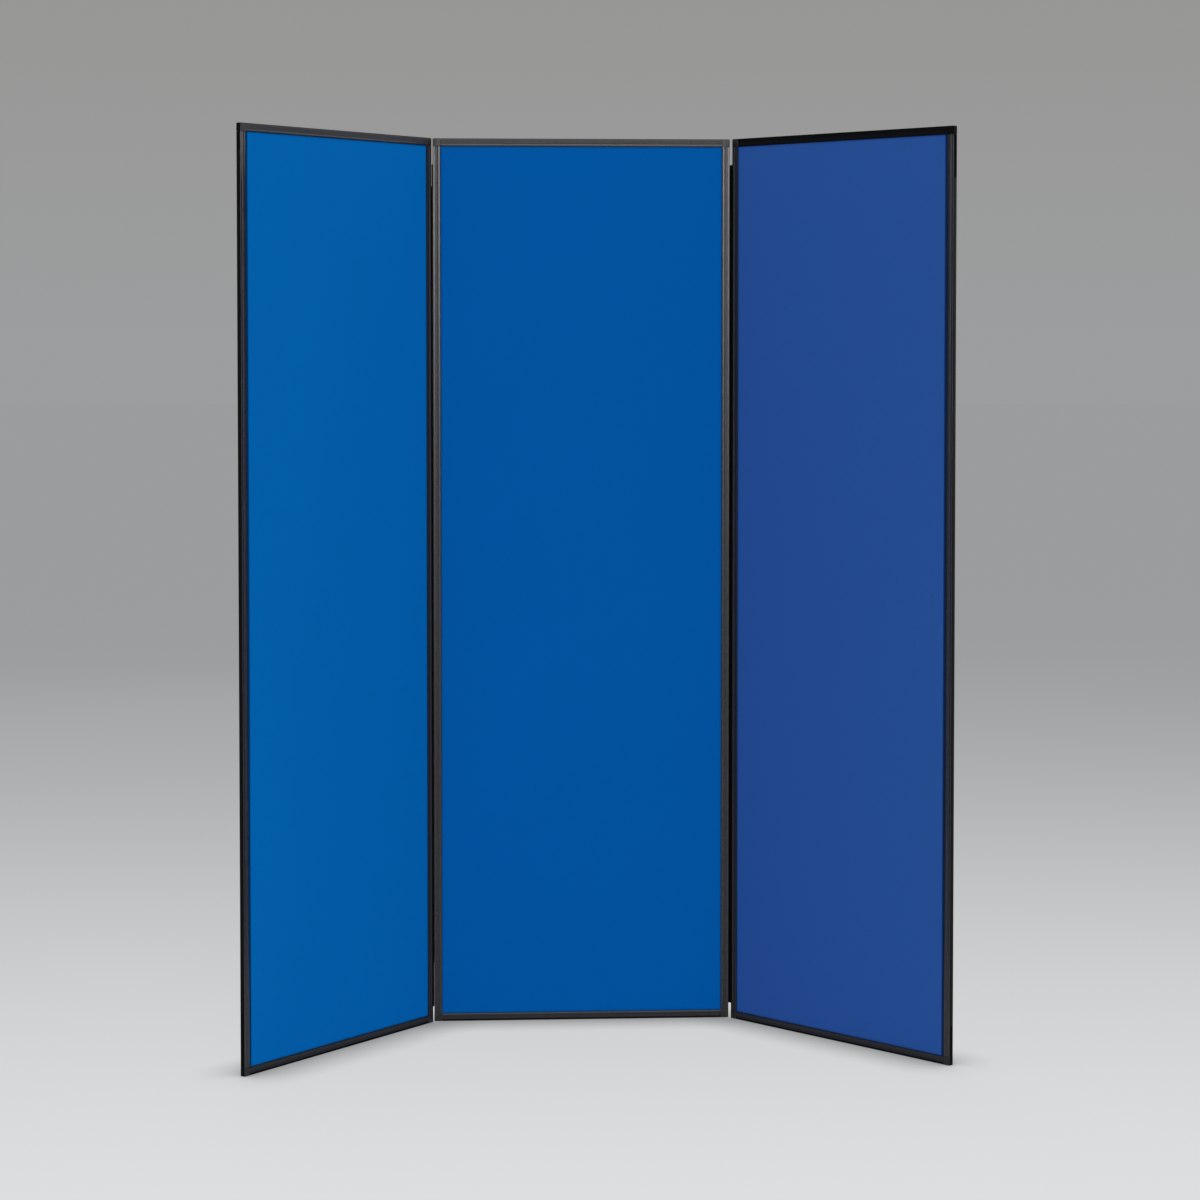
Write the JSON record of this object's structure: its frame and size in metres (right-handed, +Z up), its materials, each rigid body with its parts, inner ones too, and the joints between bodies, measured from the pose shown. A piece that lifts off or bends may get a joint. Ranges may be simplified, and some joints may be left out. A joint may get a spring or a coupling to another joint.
{
  "type": "folding display board",
  "caption": "Free-standing folding display board: tall fabric-faced panels in slim plastic frames, linked edge to edge by hinge webs so that the wings fold forwards and backwards.",
  "frame": {"origin": "the middle of the underside of the centre panel, halfway through its thickness", "axes": "+X to the right seen from the front, +Y from the front face to the back, +Z up; the wings stand folded forwards, to -Y"},
  "size_m": [1.3622, 0.4991, 1.8],
  "materials": {
    "core_board": "pale fluted plastic core, hidden between the fabric faces",
    "loop_fabric": "blue brushed loop fabric, plain and tight on the core",
    "frame_extrusion": "charcoal extruded plastic with a satin sheen",
    "corner_moulding": "charcoal moulded plastic with fine grain",
    "loop_tape": "dark grey looped pile tape",
    "hook_tape": "black hook tape",
    "hinge_web": "black soft flexible web"
  },
  "bodies": {
    "centre_panel": {"centre_panel_core_board": "core_board", "centre_panel_front_fabric": "loop_fabric", "centre_panel_back_fabric": "loop_fabric", "centre_panel_left_stile": "frame_extrusion", "centre_panel_right_stile": "frame_extrusion", "centre_panel_bottom_rail": "frame_extrusion", "centre_panel_top_rail": "frame_extrusion", "centre_panel_corner_bottom_left": "corner_moulding", "centre_panel_corner_top_left": "corner_moulding", "centre_panel_corner_top_right": "corner_moulding", "centre_panel_corner_bottom_right": "corner_moulding", "centre_panel_loop_tape": "loop_tape", "centre_panel_hook_tape": "hook_tape"},
    "left_web": {"left_hinge_web": "hinge_web"},
    "left_panel": {"left_panel_core_board": "core_board", "left_panel_front_fabric": "loop_fabric", "left_panel_back_fabric": "loop_fabric", "left_panel_left_stile": "frame_extrusion", "left_panel_right_stile": "frame_extrusion", "left_panel_bottom_rail": "frame_extrusion", "left_panel_top_rail": "frame_extrusion", "left_panel_corner_bottom_left": "corner_moulding", "left_panel_corner_top_left": "corner_moulding", "left_panel_corner_top_right": "corner_moulding", "left_panel_corner_bottom_right": "corner_moulding", "left_panel_loop_tape": "loop_tape", "left_panel_hook_tape": "hook_tape"},
    "right_web": {"right_hinge_web": "hinge_web"},
    "right_panel": {"right_panel_core_board": "core_board", "right_panel_front_fabric": "loop_fabric", "right_panel_back_fabric": "loop_fabric", "right_panel_left_stile": "frame_extrusion", "right_panel_right_stile": "frame_extrusion", "right_panel_bottom_rail": "frame_extrusion", "right_panel_top_rail": "frame_extrusion", "right_panel_corner_bottom_left": "corner_moulding", "right_panel_corner_top_left": "corner_moulding", "right_panel_corner_top_right": "corner_moulding", "right_panel_corner_bottom_right": "corner_moulding", "right_panel_loop_tape": "loop_tape", "right_panel_hook_tape": "hook_tape"}
  },
  "joints": [
    {"name": "left_inner_fold", "type": "hinge", "parent": "centre_panel", "child": "left_web", "pos_m": [-0.30285, 0, 0], "axis": [0, 0, 1], "range_deg": [-107, 28]},
    {"name": "left_outer_fold", "type": "hinge", "parent": "left_web", "child": "left_panel", "pos_m": [-0.30778, -0.00927, 0], "axis": [0, 0, 1], "range_deg": [-35.85, 99.15]},
    {"name": "right_inner_fold", "type": "hinge", "parent": "centre_panel", "child": "right_web", "pos_m": [0.30285, 0, 0], "axis": [0, 0, -1], "range_deg": [-142, 8]},
    {"name": "right_outer_fold", "type": "hinge", "parent": "right_web", "child": "right_panel", "pos_m": [0.30931, -0.00827, 0], "axis": [0, 0, -1], "range_deg": [-90, 30]}
  ]
}
